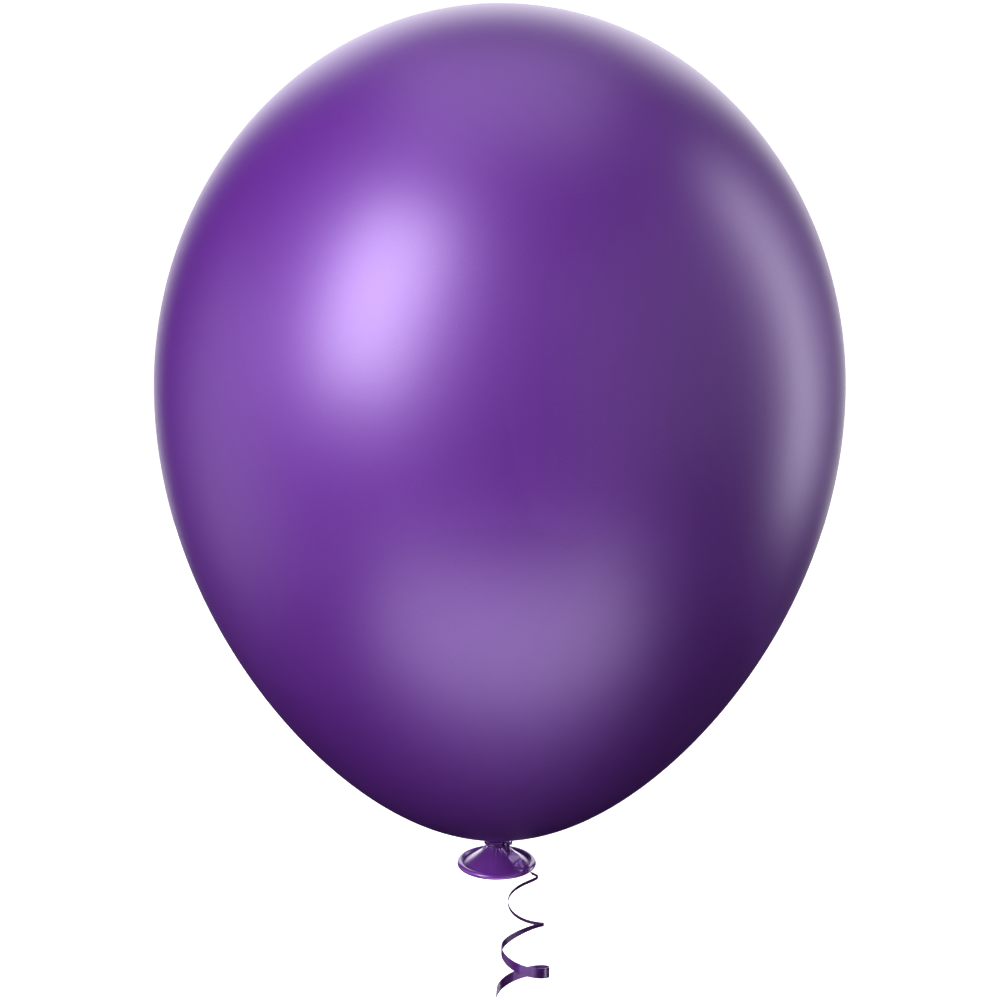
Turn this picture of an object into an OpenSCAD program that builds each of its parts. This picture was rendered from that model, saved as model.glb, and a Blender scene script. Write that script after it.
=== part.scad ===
// Inflated latex balloon, tied at the neck with a length of curling ribbon.
// The origin is the centre of the tied neck and +Z runs up the axis to the crown.

/* [Bulb] */
// Diameter of the inflated bulb at its widest circle
bulb_d = 280; // [200:1:360]
// Height of the crown above the widest circle
crown_h = 156; // [120:1:220]
// Height of the widest circle above the bulb's lowest point
base_h = 194; // [140:1:260]
// Share by which the lower half narrows towards the neck
base_taper = 0.175; // [0:0.005:0.4]
// Thickness of the bulb's film
film_t = 0.4; // [0.3:0.05:1]

/* [Neck] */
// Diameter of the gathered film inside the tie
neck_d = 7.8; // [5:0.1:12]
// Height of the bulb's lowest point above the tie's centre
neck_h = 6; // [5:0.5:20]
// Radius of the fillet where the gathered film spreads into the bulb
neck_fillet = 4; // [1:0.5:4]

/* [Skirt and rim] */
// Diameter over the rolled rim
rim_d = 33; // [26:0.5:50]
// Thickness of the rolled rim
bead_d = 2.4; // [1.8:0.1:4]
// Drop from the tie's centre to the middle of the rolled rim
rim_drop = 10; // [8:0.5:20]
// Thickness of the skirt's wall at the rim
skirt_t = 0.5; // [0.4:0.05:1]

/* [Ribbon tie] */
// Width of the ribbon where it lies flat
ribbon_w = 5; // [3:0.5:8]
// Thickness of the ribbon
ribbon_t = 0.4; // [0.3:0.05:0.6]
// Thickness of one gathered turn of ribbon round the neck
wrap_t = 1.3; // [0.8:0.1:1.4]
// Diameter of the knot
knot_d = 3; // [2.4:0.1:4]
// Direction of the knot round the neck, in degrees
knot_turn = -45; // [-90:1:90]
// Direction in which the ribbon crosses the rim, in degrees
lead_turn = -40; // [-90:1:90]

/* [Ribbon tail] */
// Height of the curl
curl_h = 52; // [30:1:90]
// Outer diameter of the curl at its top
curl_top_d = 13; // [8:0.5:16]
// Outer diameter of the curl at its bottom
curl_base_d = 25; // [14:0.5:36]
// Length of the slanting cut tip below the curl
tip_h = 3; // [1:0.5:8]

/* [Clearances] */
// Radial clearance between the ribbon's turns and the neck
tie_gap = 0.05; // [0.02:0.01:0.1]
// Clearance between the ribbon and the skirt or rim that it lies on
lay_gap = 0.3; // [0.2:0.05:0.5]
// Clearance between the ribbon's pieces where it bends over the rim
bend_gap = 0.4; // [0.3:0.05:0.8]

/* [Hidden] */
$fn = 96;

film_colour = [0.42, 0.2, 0.6];
skirt_colour = [0.36, 0.14, 0.55];
ribbon_colour = [0.5, 0.27, 0.7];

bulb_steps = 44;      // straight steps along the bulb's outline
curve_steps = 8;      // straight steps along a fillet or a flare
bulb_z = neck_h + base_h;
neck_r = neck_d / 2;
bead_r = bead_d / 2;
rim_r = rim_d / 2 - bead_r;      // middle of the rolled rim
tie_h = 2 * wrap_t + 0.4;        // straight stretch of the neck under the tie
fillet = min(neck_fillet, neck_h - tie_h / 2);

// The bulb's outline. The angle a runs from 0 at the lowest point to 180 at the crown.
function outline(r, up, down, a) = [
    r * sin(a) * (a < 90 ? 1 - base_taper * pow(cos(a), 2) : 1),
    bulb_z - (a < 90 ? down : up) * cos(a)
];
// Angle at which the outline is as far out as r_at
function outline_angle(r, r_at) = asin(r_at / (r * (1 - base_taper)));

join_a = outline_angle(bulb_d / 2, neck_r + fillet);
join = outline(bulb_d / 2, crown_h, base_h, join_a);
inner_a = outline_angle(bulb_d / 2 - film_t, neck_r + fillet);
inner_join = outline(bulb_d / 2 - film_t, crown_h - film_t, base_h - film_t, inner_a);

// A smooth curve through p and r that leaves each towards q
function bend(p, q, r, s) = pow(1 - s, 2) * p + 2 * s * (1 - s) * q + pow(s, 2) * r;

// The skirt's outer and inner curves, as [radius, height]
skirt_pull = [1, -2.6];      // step from the tie's lower edge towards which the skirt leaves
skirt_top_t = 1;             // thickness of the gathered film below the tie
skirt_out = [[neck_r, -tie_h / 2], [neck_r, -tie_h / 2] + skirt_pull,
             [rim_r - bead_r / 2, -rim_drop - bead_r / 2]];
skirt_in = [[0, -tie_h / 2 - skirt_top_t], [neck_r, -tie_h / 2 - 3 * skirt_top_t],
            skirt_out[2] - skirt_t * [sqrt(0.5), sqrt(0.5)]];
function skirt_at(c, s) = bend(c[0], c[1], c[2], s);

wrap_r = neck_r + tie_gap + wrap_t / 2;       // middle of a turn round the neck
tie_r = neck_r + tie_gap + wrap_t;            // outside of the turns
knot_r = knot_d / 2;
knot_at = tie_r + 0.6 * knot_r;      // middle of the knot, which is seated in the turns
stub_w = 1.4;                        // height and length of the ribbon's trimmed end
stub_l = 4;
stub_seat = 0.3;                     // how far the trimmed end reaches into the knot

// Where the ribbon bends down over the rim: both of its hinges pass through this point
bend_r = rim_r + bead_r + lay_gap + ribbon_t / 2;
bend_point = [bend_r * cos(lead_turn), bend_r * sin(lead_turn), -rim_drop];
fold_h = 1.8;      // height of the piece of ribbon that hangs at the bend

// The free ribbon from beside the fold to the curl's top, as steps from the bend point
drop_d = 1.2;
drop_sides = 8;
drop_route = [[1.6, -0.2, 0], [2.6, 0, -0.5], [4.2, 0, -1.6], [4.2, 0, -4]];

// Middle of the curl's top, which hangs below the bend point
curl_at = bend_point + [-1, 0.4, drop_route[3][2]];

function turned(p, a) = [p[0] * cos(a), p[0] * sin(a), p[1]];
function unit(v) = v / norm(v);

// Sweep of closed rings of points into one solid
module sweep(rings) {
    n = len(rings[0]);
    last = len(rings) - 1;
    polyhedron(
        points = [for (ring = rings) each ring],
        faces = concat(
            [[for (j = [0:n - 1]) n - 1 - j]],
            [[for (j = [0:n - 1]) last * n + j]],
            [for (i = [0:last - 1]) for (j = [0:n - 1])
                [i * n + j, i * n + (j + 1) % n, (i + 1) * n + (j + 1) % n, (i + 1) * n + j]]
        ),
        convexity = 4
    );
}

// Ring of a flat strip at [radius, height] p, turned to angle a, w wide, with its normal n
function strip_ring(p, n, a, w) = let (
        out = turned(p + n * ribbon_t / 2, a),
        in = turned(p - n * ribbon_t / 2, a),
        side = [-sin(a), cos(a), 0] * w / 2
    ) [out - side, out + side, in + side, in - side];

// Thin film of the inflated bulb, open where it is gathered into the neck
module balloon_bulb() {
    outer = [for (i = [0:bulb_steps])
        outline(bulb_d / 2, crown_h, base_h, join_a + (180 - join_a) * i / bulb_steps)];
    inner = [for (i = [bulb_steps:-1:1])
        outline(bulb_d / 2 - film_t, crown_h - film_t, base_h - film_t,
                inner_a + (180 - inner_a) * i / bulb_steps)];
    color(film_colour) rotate_extrude() polygon(concat(outer, inner, [[join[0], inner_join[1]]]));
}

// Film gathered into a solid bundle by the tie, spreading into the bulb above
module pinched_neck() {
    r = join[0] - neck_r;
    spread = [for (i = [0:curve_steps])
        [join[0] - r * cos(90 * i / curve_steps), join[1] - r + r * sin(90 * i / curve_steps)]];
    color(film_colour) rotate_extrude()
        polygon(concat([[0, -tie_h / 2], [neck_r, -tie_h / 2]], spread,
                       [[join[0], inner_join[1]], [0, inner_join[1]]]));
}

module rolled_rim() {
    color(skirt_colour) rotate_extrude()
        translate([rim_r, -rim_drop]) circle(bead_r);
}

// Open cone of film below the tie, down to the rolled rim
module flared_skirt() {
    color(skirt_colour) difference() {
        rotate_extrude() polygon(concat(
            [for (i = [0:curve_steps]) skirt_at(skirt_out, i / curve_steps)],
            [for (i = [curve_steps:-1:0]) skirt_at(skirt_in, i / curve_steps)],
            [[0, -tie_h / 2]]));
        rolled_rim();
    }
}

// One gathered turn of ribbon round the neck, with flats where it meets the next turn
module wrap(z) {
    color(ribbon_colour) rotate_extrude()
        translate([wrap_r, z]) rotate(22.5) circle(wrap_t / 2 / cos(22.5), $fn = 8);
}
module ribbon_wrap_upper() wrap(wrap_t / 2);
module ribbon_wrap_lower() wrap(-wrap_t / 2);

// Knot seated on the outside of the turns
module ribbon_knot() {
    color(ribbon_colour) difference() {
        rotate(knot_turn) translate([knot_at, 0, 0]) sphere(knot_r);
        cylinder(h = 4 * knot_d, r = tie_r, center = true);
    }
}

// Short trimmed end of the ribbon beyond the knot
module ribbon_stub() {
    color(ribbon_colour) rotate(knot_turn)
        translate([knot_at - ribbon_t / 2, knot_r - stub_seat, -stub_w / 2])
            cube([ribbon_t, stub_l, stub_w]);
}

// Ribbon lying on the skirt, from the knot to the outside of the rim
module ribbon_lead() {
    lift = lay_gap + ribbon_t / 2;
    pinch = 0.4;      // share of the ribbon's width at the knot
    first = 0.45;
    last = 0.8;
    steps = 5;
    arc = bead_r + lift;
    on_skirt = [for (i = [0:steps]) let (
            s = first + (last - first) * i / steps,
            d = unit(skirt_at(skirt_out, s + 0.01) - skirt_at(skirt_out, s)),
            n = [-d[1], d[0]]
        ) [skirt_at(skirt_out, s) + n * lift, n]];
    on_rim = [for (a = [100:-25:0]) let (n = [cos(a), sin(a)])
        [[rim_r, -rim_drop] + n * arc, n]];
    start = [[knot_at + 0.3 * knot_r, -0.6 * knot_r], [0.7, 0.7]];
    route = concat([start], on_skirt, on_rim);
    n = len(route) - 1;
    color(ribbon_colour) sweep([for (i = [0:n])
        strip_ring(route[i][0], route[i][1],
                   knot_turn + (lead_turn - knot_turn) * i / n,
                   ribbon_w * (pinch + (1 - pinch) * sin(90 * i / n)))]);
}

// Short piece of ribbon that bends down over the outside of the rim
module ribbon_fold() {
    color(ribbon_colour) rotate(lead_turn)
        translate([bend_r - ribbon_t / 2, -ribbon_w / 2, -rim_drop - bend_gap - fold_h])
            cube([ribbon_t, ribbon_w, fold_h]);
}

// Free ribbon between the fold and the curl
module ribbon_drop() {
    color(ribbon_colour) translate(bend_point) sweep([for (p = drop_route)
        [for (j = [0:drop_sides - 1]) let (a = 360 * j / drop_sides)
            p + drop_d / 2 * [cos(a), sin(a), 0]]]);
}

// Outer shape of the ribbon's curl, which widens downwards
module ribbon_curl() {
    color(ribbon_colour) translate(curl_at - [0, 0, curl_h])
        cylinder(h = curl_h, r1 = curl_base_d / 2, r2 = curl_top_d / 2);
}

// Ribbon's cut end, slanting to a point below the curl's left side
module ribbon_tip() {
    root = curl_at - [curl_base_d / 2 - 2, 0, curl_h];
    half = ribbon_w / 2;
    thick = [ribbon_t, 0, 0];
    a = root + [0, -half, 0];
    b = root + [0, half, 0];
    c = root + [-1, -half / 2, -tip_h];
    color(ribbon_colour) polyhedron(
        points = [a, b, c, a + thick, b + thick, c + thick],
        faces = [[0, 1, 2], [5, 4, 3], [0, 3, 4, 1], [1, 4, 5, 2], [2, 5, 3, 0]]);
}

balloon_bulb();
pinched_neck();
flared_skirt();
rolled_rim();
ribbon_wrap_upper();
ribbon_wrap_lower();
ribbon_knot();
ribbon_stub();
ribbon_lead();
ribbon_fold();
ribbon_drop();
ribbon_curl();
ribbon_tip();
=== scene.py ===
import math

import bmesh
import bpy
import numpy as np
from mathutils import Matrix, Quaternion, Vector

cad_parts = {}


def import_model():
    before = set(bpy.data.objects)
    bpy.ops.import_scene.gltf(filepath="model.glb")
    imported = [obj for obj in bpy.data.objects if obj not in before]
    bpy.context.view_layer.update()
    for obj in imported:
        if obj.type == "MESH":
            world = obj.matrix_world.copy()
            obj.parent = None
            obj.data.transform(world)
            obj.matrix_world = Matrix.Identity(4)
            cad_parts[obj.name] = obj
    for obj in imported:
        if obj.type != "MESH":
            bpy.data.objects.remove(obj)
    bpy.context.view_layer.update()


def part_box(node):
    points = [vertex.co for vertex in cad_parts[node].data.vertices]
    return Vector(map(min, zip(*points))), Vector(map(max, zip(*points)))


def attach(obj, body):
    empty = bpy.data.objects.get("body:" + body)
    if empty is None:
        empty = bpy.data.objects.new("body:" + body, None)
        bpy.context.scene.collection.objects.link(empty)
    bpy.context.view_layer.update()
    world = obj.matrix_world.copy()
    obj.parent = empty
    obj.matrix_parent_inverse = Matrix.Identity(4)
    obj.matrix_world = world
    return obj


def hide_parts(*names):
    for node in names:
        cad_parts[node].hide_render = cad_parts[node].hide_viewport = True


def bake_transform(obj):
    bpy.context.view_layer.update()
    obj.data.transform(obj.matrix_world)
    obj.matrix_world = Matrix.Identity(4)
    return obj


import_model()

MM = 0.001

# ---------------------------------------------------------------- sizes, in metres
# The bulb: an egg of two half ellipses, whose lower half narrows towards the neck
BULB_R = 140 * MM
CROWN_H = 156 * MM
BASE_H = 194 * MM
BASE_TAPER = 0.175
BULB_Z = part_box("balloon_bulb")[1][2] - CROWN_H

# The neck and its tie
NECK_R = 3.9 * MM
TIE_HALF = 1.5 * MM
WRAP_T = 1.3 * MM
TIE_GAP = 0.05 * MM
TIE_R = NECK_R + TIE_GAP + WRAP_T

# The skirt and its rolled rim
RIM_LOW, RIM_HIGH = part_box("rolled_rim")
BEAD_R = (RIM_HIGH[2] - RIM_LOW[2]) / 2
RIM_R = (RIM_HIGH[0] - RIM_LOW[0]) / 2 - BEAD_R
RIM_Z = (RIM_HIGH[2] + RIM_LOW[2]) / 2
SKIRT_T = 0.35 * MM

# The ribbon
RIBBON_W = 5 * MM
RIBBON_T = 0.14 * MM
KNOT_TURN = math.radians(-45)
LEAD_TURN = math.radians(-40)
LAY_GAP = 0.3 * MM
BEND_R = RIM_R + BEAD_R + LAY_GAP + 0.2 * MM
BEND = np.array([BEND_R * math.cos(LEAD_TURN), BEND_R * math.sin(LEAD_TURN), RIM_Z])
# The knot's place on the tie, and its directions outward, along the tie and up
UP = np.array([0, 0, 1.0])
KNOT_OUT = np.array([math.cos(KNOT_TURN), math.sin(KNOT_TURN), 0])
KNOT_LEVEL = np.array([-KNOT_OUT[1], KNOT_OUT[0], 0])
KNOT_AT = (TIE_R + 0.9 * MM) * KNOT_OUT
# Where the ribbon leaves the rim, as an angle round the bead's section above its outermost point
LEAVE = math.radians(45)
LEAVE_R = RIM_R + (BEND_R - RIM_R) * math.cos(LEAVE)
LEAVE_Z = RIM_Z + (BEND_R - RIM_R) * math.sin(LEAVE)
RIM_EXIT = np.array([LEAVE_R * math.cos(LEAD_TURN), LEAVE_R * math.sin(LEAD_TURN), LEAVE_Z])

# The free ribbon's first steps from the bend, then its spiral: 2.5 turns that widen downwards
DROP_ROUTE = BEND + np.array([[1.6, -0.2, 0], [2.6, 0, -0.5], [4.2, 0, -1.6]]) * MM
CURL_X0, CURL_X1, CURL_Y = 11.0 * MM, 11.7 * MM, -10.9 * MM
CURL_TOP, CURL_DROP, CURL_TILT = -11.6 * MM, 54.4 * MM, 0.3 * MM
CURL_R0, CURL_R1 = 6.2 * MM, 11.6 * MM
CURL_TURNS = 2.5
CURL_REACH = 1.4 * MM        # how much further right its second turn reaches
# How steeply the ribbon's width leans up from level, at the top of the curl and at its tip
LEAN_TOP, LEAN_TIP = math.radians(38.5), math.radians(82)
PINCH_W = 3.2 * MM           # the ribbon's width where it is creased over the rim
TIP_L = 4 * MM               # length of its slanting cut end
# How far the laid ribbon's far edge stands up from the skirt
LEAD_RISE = math.radians(62)


# ---------------------------------------------------------------- camera
def camera():
    """A long lens a little above the balloon, rolled by a fraction of a degree."""
    target = Vector((0.0004, 0, 0.1512))
    distance, elevation, roll = 2.268, math.radians(20), math.radians(0.39)
    back = Vector((0, -math.cos(elevation), math.sin(elevation)))
    cam = bpy.data.objects.new("camera", bpy.data.cameras.new("camera"))
    bpy.context.scene.collection.objects.link(cam)
    cam.data.lens = 200
    cam.data.clip_start, cam.data.clip_end = 0.05, 50
    cam.location = target + back * distance
    cam.rotation_mode = "QUATERNION"
    cam.rotation_quaternion = (-back).to_track_quat("-Z", "Y") @ Quaternion((0, 0, 1), roll)
    bpy.context.scene.camera = cam


# ---------------------------------------------------------------- surfaces
def surface(name, points, body, replaced, poles=True):
    """A grid of points, rows by columns, closed round its columns. With poles, the first and the last row
    are each joined to their own middle point. A piece without a body is attached to none."""
    rows, columns = points.shape[:2]
    corner = np.arange(rows * columns).reshape(rows, columns)
    following = np.roll(corner, -1, axis=1)
    quads = np.stack([corner[:-1], following[:-1], following[1:], corner[1:]], axis=-1)
    faces = quads.reshape(-1, 4).tolist()
    vertices = [points.reshape(-1, 3)]
    if poles:
        for number, (row, way) in enumerate(((0, 1), (-1, -1))):
            middle = np.full(columns, rows * columns + number)
            vertices.append(points[row].mean(axis=0)[None])
            faces += np.stack([middle, following[row], corner[row]], axis=-1)[:, ::way].tolist()
    mesh = bpy.data.meshes.new(name)
    mesh.from_pydata(np.concatenate(vertices), [], faces)
    mesh.polygons.foreach_set("use_smooth", np.ones(len(mesh.polygons), bool))
    mesh.validate()
    piece = bpy.data.objects.new(name, mesh)
    bpy.context.scene.collection.objects.link(piece)
    if body:
        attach(piece, body)
    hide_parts(*replaced)
    return piece


def ring_surface(name, points, body, replaced):
    """A grid closed both round its columns and along its rows: the first row is repeated as the last,
    and the two are merged. All faces are then turned outward."""
    piece = surface(name, np.concatenate([points, points[:1]]), body, replaced, poles=False)
    made = bmesh.new()
    made.from_mesh(piece.data)
    bmesh.ops.remove_doubles(made, verts=made.verts, dist=1e-7)
    bmesh.ops.recalc_face_normals(made, faces=made.faces)
    made.to_mesh(piece.data)
    made.free()
    return piece


def turned(radius, height, angles):
    """Points at radius and height, turned to each angle about the Z axis."""
    radius, height, angles = np.broadcast_arrays(radius, height, angles)
    return np.stack([radius * np.cos(angles), radius * np.sin(angles), height], axis=-1)


def unit(v):
    """v / |v|, along the last axis."""
    return v / np.linalg.norm(v, axis=-1, keepdims=True)


def smooth(t):
    """t^2 (3 - 2 t), held at 0 below 0 and at 1 above 1."""
    t = np.clip(t, 0, 1)
    return t * t * (3 - 2 * t)


def around(count):
    """Angles spaced evenly once round, 2 pi i / count."""
    return np.arange(count) * 2 * np.pi / count


def spline(points, count):
    """Points spaced evenly along a Catmull-Rom curve through the given points:
    (2 b + (c - a) f + (2 a - 5 b + 4 c - d) f^2 + (3 b - a - 3 c + d) f^3) / 2 between b and c."""
    p = np.concatenate([2 * points[:1] - points[1:2], points, 2 * points[-1:] - points[-2:-1]])
    t = np.linspace(0, len(points) - 1, 40 * count)
    i = np.minimum(t.astype(int), len(points) - 2)
    f = (t - i)[:, None]
    a, b, c, d = p[i], p[i + 1], p[i + 2], p[i + 3]
    way = 0.5 * (2 * b + (c - a) * f + (2 * a - 5 * b + 4 * c - d) * f**2 + (3 * b - a - 3 * c + d) * f**3)
    return even(way, count)


def even(way, count):
    """The same way with count points spaced evenly along it. Columns after the third go with their point."""
    run = np.concatenate([[0], np.cumsum(np.linalg.norm(np.diff(way[:, :3], axis=0), axis=1))])
    at = np.linspace(0, run[-1], count)
    return np.stack([np.interp(at, run, column) for column in way.T], axis=-1)


def length_of(way):
    """The sum of the steps from point to point."""
    return float(np.linalg.norm(np.diff(way, axis=0), axis=1).sum())


# ---------------------------------------------------------------- the balloon
def bulb_profile(a):
    """Radius and height at angle a, from 0 at the lowest point to pi at the crown:
    r = R sin a, times 1 - taper cos^2 a in the lower half; z = -H cos a, with each half's own H."""
    low = a < np.pi / 2
    radius = BULB_R * np.sin(a) * np.where(low, 1 - BASE_TAPER * np.cos(a) ** 2, 1)
    return radius, BULB_Z - np.where(low, BASE_H, CROWN_H) * np.cos(a)


def bulb():
    """The bulb's outline turned about the axis. Near the neck its film is drawn into folds:
    the height gains depth * cos(n * angle) that fades out over the first 30 mm of radius."""
    folds, depth, reach = 26, 0.35 * MM, 30 * MM
    a = np.concatenate([np.linspace(0.035, 0.3, 40, endpoint=False), np.linspace(0.3, np.pi - 0.01, 150)])
    turn = around(416)[None]
    radius, height = (v[:, None] for v in bulb_profile(a))
    fade = np.where(a[:, None] < 1, smooth(1 - radius / reach) ** 2, 0)
    height = height + depth * fade * (np.cos(folds * turn) + 0.4 * np.cos(11 * turn + 1))
    return surface("balloon_bulb_film", turned(radius, height, turn), "balloon",
                   ["balloon_bulb"])


def neck():
    """The gathered film: a bundle under the tie that spreads into the bulb along a quarter circle,
    its radius less depth * (0.5 + 0.5 cos(n * angle) + 0.3 cos(9 * angle)), deepest just above the tie."""
    folds = 26
    top_r = 8.2 * MM
    top_z = BULB_Z - BASE_H + 0.35 * MM
    r = top_r - NECK_R
    bend = np.linspace(0, np.pi / 2, 24)
    under_r = [0.4 * NECK_R, NECK_R, NECK_R, NECK_R]
    under_z = [-TIE_HALF, -TIE_HALF, 0, TIE_HALF]
    radius = np.concatenate([under_r, top_r - r * np.cos(bend), [0.5 * top_r]])
    height = np.concatenate([under_z, top_z - r + r * np.sin(bend), [top_z + 0.2 * MM]])
    turn = around(312)[None]
    radius, height = radius[:, None], height[:, None]
    above_tie = smooth((height - TIE_HALF) / (1.2 * MM))
    below_bulb = smooth((top_z + 0.6 * MM - height) / (3 * MM))
    deep = 0.45 * MM * above_tie * below_bulb
    radius = radius - deep * (0.5 + 0.5 * np.cos(folds * turn) + 0.3 * np.cos(9 * turn))
    return surface("pinched_neck_film", turned(radius, height, turn), "balloon",
                   ["pinched_neck"])


def skirt_curve(s, inside):
    """Radius and height along the skirt, a curve that leaves the neck steeply and flattens outwards:
    (1-s)^2 p + 2 s (1-s) q + s^2 r, for s from 0 at the neck to 1 at the rim."""
    end = np.array([RIM_R - BEAD_R / 2, RIM_Z - BEAD_R / 2])
    if inside:
        p, q = np.array([0, -TIE_HALF - 1 * MM]), np.array([NECK_R, -TIE_HALF - 3 * MM])
        end = end - SKIRT_T * 0.7
    else:
        p, q = np.array([NECK_R, -TIE_HALF]), np.array([NECK_R + 1 * MM, -TIE_HALF - 2.6 * MM])
    s = np.asarray(s, float)[..., None]
    return (1 - s) ** 2 * p + 2 * s * (1 - s) * q + s**2 * end


def skirt():
    """The skirt's outer curve, round its edge, then back along the inner curve, turned about the axis.
    Pleats lift the wall by depth * (cos 20 a + 0.5 cos(13 a + 0.7) + 0.3 cos 31 a), most near the neck and
    none at the rim, and the whole wall sags by a slow cos(3 a + 0.5)."""
    s = np.linspace(0, 1, 44)
    outer, inner = skirt_curve(s, False), skirt_curve(s[::-1], True)
    turn = around(320)[None]
    lift = np.concatenate([s, s[::-1]])[:, None]
    profile = np.concatenate([outer, inner])[:, :, None]
    fade = smooth(lift / 0.12) * (1 - smooth((lift - 0.08) / 0.5))
    waves = np.cos(20 * turn) + 0.5 * np.cos(13 * turn + 0.7) + 0.3 * np.cos(31 * turn)
    pleat = 0.20 * MM * fade * waves
    sag = 0.18 * MM * smooth(lift / 0.5) * np.cos(3 * turn + 0.5) * (1 - smooth((lift - 0.6) / 0.4))
    points = turned(profile[:, 0] + 0.6 * pleat, profile[:, 1] + 0.8 * pleat + sag, turn)
    return surface("flared_skirt_film", points, "balloon", ["flared_skirt"])


def rim():
    """The rolled rim: a ring whose section is a circle of radius R (1 + 0.03 cos(3 a + 1) + 0.02 cos 7 a),
    with a shallow crease on its inner side, where the roll closes."""
    around_ring = around(256)[:, None]
    section = around(40)[None]
    crease = 0.10 * np.exp(-((section - 0.78 * np.pi) / 0.22) ** 2)
    wander = 1 + 0.03 * np.cos(3 * around_ring + 1) + 0.02 * np.cos(7 * around_ring)
    thick = BEAD_R * wander * (1 - crease)
    radius = RIM_R + thick * np.cos(section)
    height = RIM_Z + thick * np.sin(section)
    return ring_surface("rolled_rim_bead", turned(radius, height, around_ring), "balloon",
                        ["rolled_rim"])


# ---------------------------------------------------------------- the ribbon
def strip(way, side, width, ribs=14, columns=57):
    """A ribbon along way: at each point a flat section, width across along side and RIBBON_T thick,
    whose faces carry fine lengthwise ribs, h * cos(pi * ribs * u) for u from -1 to 1 across."""
    along = unit(np.gradient(way, axis=0))
    side = unit(side)
    face = unit(np.cross(along, side))
    u = np.linspace(-1, 1, columns)
    rib = 0.035 * MM * np.cos(np.pi * ribs * u) * (1 - u**8)
    u = np.concatenate([u, u[::-1]])
    level = np.concatenate([rib + RIBBON_T / 2, rib[::-1] - RIBBON_T / 2])
    width = np.broadcast_to(width, len(way))
    return (way[:, None] + side[:, None] * u[None, :, None] * width[:, None, None] / 2
            + face[:, None] * level[None, :, None])


def curl():
    """The free ribbon's way, and at each of its points the direction of its width. From the bend over the rim
    the way runs to the curl's right side and then down a spiral of angle a = 2 pi TURNS t:
    x = X0 + (X1 - X0) t + reach + radius cos a, y = Y + depth sin a, z = TOP - DROP fall + TILT (cos a - 1).
    The radius grows from R0 to R1. The depth is small at first and equals the radius further down.
    The fall is t less a share of sin a, which makes the right-hand turns sharper while it lasts.
    The width points forward and leans up from LEAN_TOP to LEAN_TIP."""
    second_turn = 1 / CURL_TURNS
    rounded = 0.42            # share of the way from which the curl is round and no longer flat
    t = np.linspace(0.0125, 1, 80)
    angle = 2 * np.pi * CURL_TURNS * t
    radius = CURL_R0 + (CURL_R1 - CURL_R0) * smooth((t - 0.15) / 0.85)
    reach = CURL_REACH * np.exp(-((t - second_turn) / 0.045) ** 2)
    depth = radius * (0.03 + 0.97 * smooth((t - rounded) / 0.3))
    sharp = (0.5 + 0.35 * smooth(t / 0.3)) * (1 - smooth((t - rounded) / 0.2))
    fall = t - sharp * np.sin(angle) / (2 * np.pi * CURL_TURNS)
    lean = LEAN_TOP + (LEAN_TIP - LEAN_TOP) * smooth((t - 0.38) / 0.38)
    spiral = np.stack([CURL_X0 + (CURL_X1 - CURL_X0) * t + reach + radius * np.cos(angle),
                       CURL_Y + depth * np.sin(angle),
                       CURL_TOP - CURL_DROP * fall + CURL_TILT * (np.cos(angle) - 1),
                       0 * t, -np.cos(lean), np.sin(lean)], axis=-1)
    first = np.concatenate([RIM_EXIT[None], DROP_ROUTE])
    on_rim = np.array([math.sin(LEAD_TURN), -math.cos(LEAD_TURN), 0])
    side = np.concatenate([on_rim[None], np.repeat(spiral[:1, 3:], len(DROP_ROUTE), axis=0)])
    return spline(np.concatenate([np.hstack([first, side]), spiral]), 600)


def tail():
    """The ribbon's free part: narrow where it is creased over the rim, and cut at a slant over its last few
    millimetres. It is two pieces that meet beside the rim: the bend over the rim, and the hanging curl."""
    made = curl()
    way, side = made[:, :3], made[:, 3:]
    run = np.linspace(0, 1, len(way)) * length_of(way)
    taper = np.clip((run[-1] - run) / TIP_L, 0, 1)
    width = PINCH_W + (RIBBON_W - PINCH_W) * smooth(run / (8 * MM))
    points = strip(way, side, width)
    edge = points[:, :1]
    points = edge + (points - edge) * (0.03 + 0.97 * taper)[:, None, None]
    meet = int(np.argmin(np.linalg.norm(way - DROP_ROUTE[0], axis=1)))
    fold = surface("ribbon_fold_strip", points[:meet + 1], None, ["ribbon_fold"])
    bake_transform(fold)
    hanging = surface("ribbon_curl_strip", points[meet:], None,
                      ["ribbon_drop", "ribbon_curl", "ribbon_tip"])
    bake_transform(hanging)
    return fold, hanging


def lead_way():
    """The ribbon from the knot, laid down the skirt and over the top and outside of the rim."""
    s = np.linspace(0.45, 0.8, 5)
    on_skirt = skirt_curve(s, False)
    along = unit(skirt_curve(s + 0.01, False) - on_skirt)
    on_skirt = on_skirt + LAY_GAP * np.stack([-along[:, 1], along[:, 0]], axis=-1)
    a = np.radians(np.arange(105, 40, -20))
    arc = BEND_R - RIM_R
    on_rim = np.stack([RIM_R + arc * np.cos(a), RIM_Z + arc * np.sin(a)], axis=-1)
    knot = np.array([[TIE_R + 1.3 * MM, -0.9 * MM]])
    flat = np.concatenate([knot, on_skirt, on_rim])
    angle = np.linspace(KNOT_TURN, LEAD_TURN, len(flat))
    return spline(turned(flat[:, 0], flat[:, 1], angle), 140)


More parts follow.
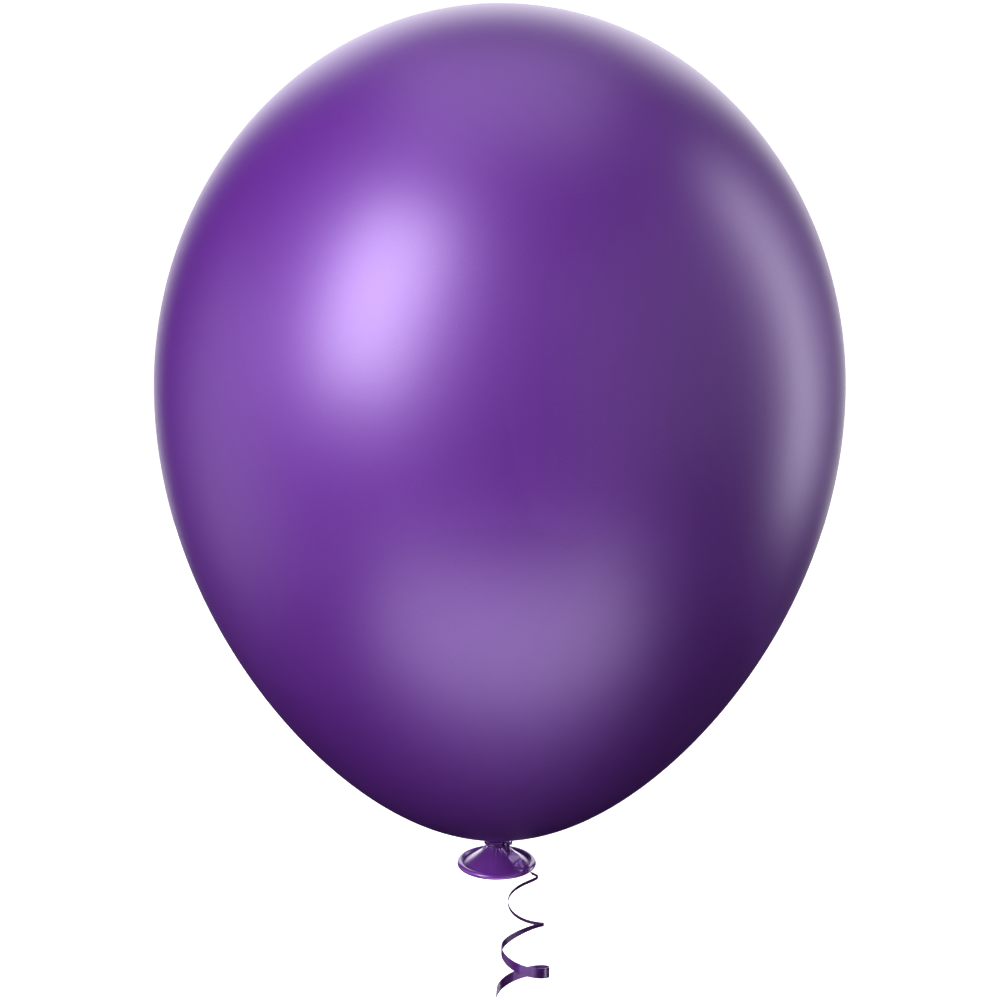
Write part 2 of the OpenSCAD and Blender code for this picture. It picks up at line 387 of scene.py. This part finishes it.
def lead():
    """The ribbon's laid part: pinched at the knot, opening to its full width on the skirt, and creased over
    the rim. On the skirt its far edge stands up, by an angle that swells and fades along the way."""
    way = lead_way()
    t = np.linspace(0, 1, len(way))
    angle = np.arctan2(way[:, 1], way[:, 0])
    level = np.stack([-np.sin(angle), np.cos(angle), 0 * angle], axis=-1)
    out = unit(np.cross(level, np.gradient(way, axis=0)))
    out = out * np.sign(out[:, 2:].sum())
    raised = LEAD_RISE * smooth(t / 0.25) * (1 - 0.75 * smooth((t - 0.7) / 0.3))
    at_knot, laid = 0.2 * RIBBON_W, 0.85 * RIBBON_W
    width = at_knot + (laid - at_knot) * smooth(t / 0.45) + (PINCH_W - laid) * smooth((t - 0.6) / 0.35)
    side = level * np.cos(raised)[:, None] + out * np.sin(raised)[:, None]
    way = way + out * (np.sin(raised) * width / 2)[:, None]
    return surface("ribbon_lead_strip", strip(way, side, width), "tie", ["ribbon_lead"])


def wrap(name, height, phase):
    """One turn of gathered ribbon: a ring whose section is a circle creased by the ribbon's folds,
    r * (1 + c cos(5 section + angle)), so that the creases wind slowly round the ring."""
    ring = around(240)[:, None]
    section = around(48)[None]
    crease = 0.10 * np.cos(5 * section + ring + phase) + 0.05 * np.cos(9 * section - 2 * ring)
    thick = WRAP_T / 2 * (0.95 + crease)
    radius = TIE_R - WRAP_T / 2 + thick * np.cos(section)
    return ring_surface(name + "_turn", turned(radius, height + thick * np.sin(section), ring),
                        "tie", [name])


def knot():
    """An overhand knot of gathered ribbon: a tube along a trefoil,
    (sin t + 2 sin 2t, cos t - 2 cos 2t, -1.1 sin 3t), its section a creased circle."""
    t = around(200)
    size = 0.42 * MM
    trefoil = [np.sin(t) + 2 * np.sin(2 * t), np.cos(t) - 2 * np.cos(2 * t), -1.1 * np.sin(3 * t)]
    way = np.stack(trefoil, axis=-1) * size
    along = unit(np.roll(way, -1, axis=0) - np.roll(way, 1, axis=0))
    side = unit(np.cross(along, unit(way + 1e-9)))
    face = np.cross(along, side)
    section = around(20)[None]
    thick = 0.50 * MM * (1 + 0.12 * np.cos(4 * section + 3 * t[:, None]))
    points = (way[:, None] + (thick * np.cos(section))[..., None] * side[:, None]
              + (thick * np.sin(section))[..., None] * face[:, None])
    turn = np.stack([KNOT_LEVEL, UP, KNOT_OUT])
    return ring_surface("ribbon_knot_tied", points @ turn + KNOT_AT, "tie", ["ribbon_knot"])


def stub():
    """The ribbon's short trimmed end: a curve through four steps from the knot, along the tie, outward and
    up, that opens and curls away behind it."""
    steps = np.array([[0.4, 0.1, 0.0], [1.3, 0.2, 0.1], [2.3, 0.1, 0.1], [3.3, -0.3, -0.1]]) * MM
    way = spline(KNOT_AT + steps @ np.stack([KNOT_LEVEL, KNOT_OUT, UP]), 60)
    t = np.linspace(0, 1, len(way))
    side = np.repeat(UP[None], len(way), axis=0) + 0.3 * KNOT_OUT
    return surface("ribbon_stub_strip", strip(way, side, RIBBON_W * (0.2 + 0.35 * t)), "tie",
                   ["ribbon_stub"])


# ---------------------------------------------------------------- shader maths
class Value:
    """A number that varies over a surface. Its operators add Math nodes."""

    def __init__(self, finish, socket):
        self.finish, self.socket = finish, socket

    def math(self, operation, *others, swap=False):
        """A Math node of this number and the others, or of the others and this one with swap."""
        parts = [self, *others]
        if swap:
            parts.reverse()
        return self.finish.node("ShaderNodeMath", {"operation": operation}, dict(enumerate(parts)))

    def __add__(self, other):
        return self.math("ADD", other)

    def __sub__(self, other):
        return self.math("SUBTRACT", other)

    def __rsub__(self, other):
        return self.math("SUBTRACT", other, swap=True)

    def __mul__(self, other):
        return self.math("MULTIPLY", other)

    def __pow__(self, other):
        return self.math("POWER", other)

    __radd__, __rmul__ = __add__, __mul__

    def clamp(self):
        """Held between 0 and 1."""
        return self.finish.node("ShaderNodeClamp", {}, {"Value": self})

    def ramp(self, low, high):
        """0 below low, 1 above high, smooth between."""
        return self.finish.node("ShaderNodeMapRange", {"interpolation_type": "SMOOTHSTEP"},
                                {"Value": self, "From Min": low, "From Max": high})


class Finish:
    """A material built from one Principled shader."""

    def __init__(self, name, **constants):
        self.material = bpy.data.materials.new(name)
        self.material.use_nodes = True
        self.nodes = self.material.node_tree.nodes
        self.links = self.material.node_tree.links
        self.shader = self.nodes["Principled BSDF"]
        for key, value in constants.items():
            self.shader.inputs[key.replace("_", " ")].default_value = value

    def node(self, kind, settings, inputs, output=0):
        """Any node by its type, with its settings, then the values or links of its sockets."""
        made = self.nodes.new(kind)
        for key, value in settings.items():
            setattr(made, key, value)
        for key, value in inputs.items():
            self.feed(made.inputs[key], value)
        return Value(self, made.outputs[output])

    def feed(self, socket, value):
        """Links a Value to a socket, or sets a plain number or colour on it."""
        if isinstance(value, Value):
            self.links.new(value.socket, socket)
        else:
            socket.default_value = value

    def set(self, key, value):
        """One input of the shader."""
        self.feed(self.shader.inputs[key], value)

    def place(self, stretch=(1, 1, 1)):
        """The point's place on the object, in metres, times stretch."""
        here = self.node("ShaderNodeTexCoord", {}, {}, "Object")
        return self.node("ShaderNodeMapping", {}, {"Vector": here, "Scale": stretch})

    def noise(self, vector, size, detail=2, rough=0.5):
        """Soft cloudy variation, 0 to 1, whose blotches are about size metres across."""
        return self.node("ShaderNodeTexNoise", {}, {"Vector": vector, "Scale": 1 / size, "Detail": detail,
                                                    "Roughness": rough})

    def cells(self, vector, size):
        """Random level of each cell, 0 to 1, for cells about size metres across."""
        picked = self.node("ShaderNodeTexVoronoi", {}, {"Vector": vector, "Scale": 1 / size}, "Color")
        return self.node("ShaderNodeSeparateColor", {}, {"Color": picked}, 0)

    def axis(self, vector, name):
        """One of a vector's parts, by its letter."""
        return self.node("ShaderNodeSeparateXYZ", {}, {"Vector": vector}, name)

    def mix(self, share, a, b):
        """Colour a where share is 0 and colour b where it is 1."""
        made = self.nodes.new("ShaderNodeMix")
        made.data_type = "RGBA"
        for key, value in ((0, share), (6, a), (7, b)):
            self.feed(made.inputs[key], value)
        return Value(self, made.outputs[2])

    def bump(self, height, depth, strength=1.0):
        """Normal from a height of 0 to 1 that stands depth metres high."""
        return self.node("ShaderNodeBump", {}, {"Height": height, "Distance": depth, "Strength": strength})


def pearl_film():
    """Stretched pearl latex: a broad soft gloss over deep purple, faintly clouded and streaked where the film
    is thicker, with very fine flakes, and deeper in colour at the crown and round the neck, where it is
    least stretched."""
    f = Finish("pearl latex film", Metallic=0.4, IOR=1.5, Coat_Weight=1, Coat_Roughness=0.4, Coat_IOR=1.7)
    here = f.place()
    height = f.axis(here, "Z")
    thick = (height.ramp(0.345, 0.3565) + (1 - height.ramp(0.006, 0.03))).clamp()
    cloud = f.noise(here, 0.12, 3)
    streak = f.noise(f.place((1, 1, 0.15)), 0.02, 2)
    flake = f.cells(here, 0.0002)
    base = f.mix(cloud * 0.5 + streak * 0.3, (0.15, 0.012, 0.36, 1), (0.18, 0.018, 0.42, 1))
    base = f.mix(flake ** 6 * 0.10, base, (0.50, 0.20, 0.80, 1))
    base = f.mix(thick * 0.4, base, (0.12, 0.01, 0.30, 1))
    f.set("Base Color", base)
    f.set("Roughness", 0.55 + (cloud - 0.5) * 0.08 + (flake - 0.5) * 0.04)
    f.set("Normal", f.bump(flake * 0.4 + f.noise(here, 0.0012, 2), 0.00001, 0.3))
    return f.material


def neck_film(name, depth):
    """Unstretched latex of the neck, skirt and rim: glossier than the bulb, with a fine grain. Its colour is
    scaled by depth; above 1 the colour is painted lighter, as painted light.
    """
    f = Finish(name, Metallic=0.3, IOR=1.5, Coat_Weight=1, Coat_Roughness=0.22, Coat_IOR=1.6)
    here = f.place()
    turn = f.noise(here, 0.004, 3)
    fine = f.noise(here, 0.0007, 2)
    flake = f.cells(here, 0.0002)
    base = f.mix(turn, tuple(depth * c for c in (0.185, 0.030, 0.37)) + (1,),
                 tuple(depth * c for c in (0.245, 0.046, 0.46)) + (1,))
    f.set("Base Color", f.mix(flake ** 6 * 0.12, base, (0.30, 0.12, 0.50, 1)))
    f.set("Roughness", 0.36 + turn * 0.12)
    f.set("Normal", f.bump(fine + turn * 0.5, 0.00004, 0.4))
    return f.material


def ribbon_finish():
    """Glossy crimped ribbon: fine cross ripples and small kinks that catch the light."""
    f = Finish("curling ribbon", Metallic=0.35, IOR=1.5, Coat_Weight=1, Coat_Roughness=0.12, Coat_IOR=1.5)
    here = f.place()
    kink = f.noise(here, 0.003, 3)
    fine = f.noise(here, 0.0004, 2)
    f.set("Base Color", f.mix(kink, (0.060, 0.008, 0.145, 1), (0.200, 0.036, 0.390, 1)))
    f.set("Roughness", 0.26 + kink * 0.15)
    f.set("Normal", f.bump(fine * 0.4 + kink, 0.00012, 0.4))
    return f.material


# ---------------------------------------------------------------- floor and light
def floor():
    """A plain pale floor well below the floating balloon, bright in itself, that adds no light of its own."""
    mesh = bpy.data.meshes.new("floor")
    mesh.from_pydata([(-30, -30, -0.6), (30, -30, -0.6), (30, 60, -0.6), (-30, 60, -0.6)], [], [(0, 1, 2, 3)])
    made = bpy.data.objects.new("floor", mesh)
    bpy.context.scene.collection.objects.link(made)
    made.visible_diffuse = made.visible_glossy = False
    f = Finish("pale floor", Roughness=0.9, Specular_IOR_Level=0.1, Emission_Strength=0.97,
               Emission_Color=(1, 1, 1, 1))
    f.set("Base Color", (0.9, 0.9, 0.9, 1))
    mesh.materials.append(f.material)


def world():
    """A white surround that shows behind the balloon. The softboxes do all the lighting."""
    made = bpy.data.worlds.new("studio")
    made.use_nodes = True
    made.node_tree.nodes["Background"].inputs["Color"].default_value = (1, 1, 1, 1)
    made.cycles_visibility.diffuse = made.cycles_visibility.glossy = False
    bpy.context.scene.world = made


def softbox(name, at, width, height, power):
    """A plain white area light at a point, aimed at the middle of the bulb."""
    middle = Vector((0, 0, BULB_Z))
    data = bpy.data.lights.new(name, "AREA")
    data.shape = "RECTANGLE"
    data.size, data.size_y = width, height
    data.energy = power
    made = bpy.data.objects.new(name, data)
    made.location = at
    made.rotation_mode = "QUATERNION"
    made.rotation_quaternion = (middle - made.location).to_track_quat("-Z", "Y")
    bpy.context.scene.collection.objects.link(made)


def lights():
    """A large key from the upper left, a tall strip from behind on the right, a wide light from below in
    front, and weaker fill from the other sides. All are white."""
    softbox("key", (-1.5, -1.4, 1.4), 1.2, 2.0, 70)
    softbox("strip", (2.0, 0.9, 0.3), 0.5, 2.4, 18)
    softbox("low", (0.1, -1.4, -1.6), 3.0, 1.4, 30)
    softbox("fill", (1.6, -1.4, 0.8), 2.5, 2.5, 8)
    softbox("left", (-2.0, 0.2, -0.2), 1.5, 2.0, 6)
    softbox("top", (0.0, 0.6, 2.2), 2.0, 2.0, 12)
    softbox("back", (0.0, 2.0, 0.2), 2.0, 2.0, 25)


# ---------------------------------------------------------------- assembly
camera()
ribbon = ribbon_finish()
for made in (*tail(), lead(), knot(), stub(),
             wrap("ribbon_wrap_upper", WRAP_T / 2, 0.0), wrap("ribbon_wrap_lower", -WRAP_T / 2, 2.0)):
    made.data.materials.append(ribbon)
bulb().data.materials.append(pearl_film())
neck_made = neck_film("neck latex", 1.0)
for made in (neck(), skirt()):
    made.data.materials.append(neck_made)
# The rim gets a copy of the neck latex painted 1.15 times lighter: painted light on the bead, not a different
# latex.
rim().data.materials.append(neck_film("rim latex painted lighter", 1.15))
floor()
world()
lights()
bpy.context.scene.view_settings.view_transform = "Standard"
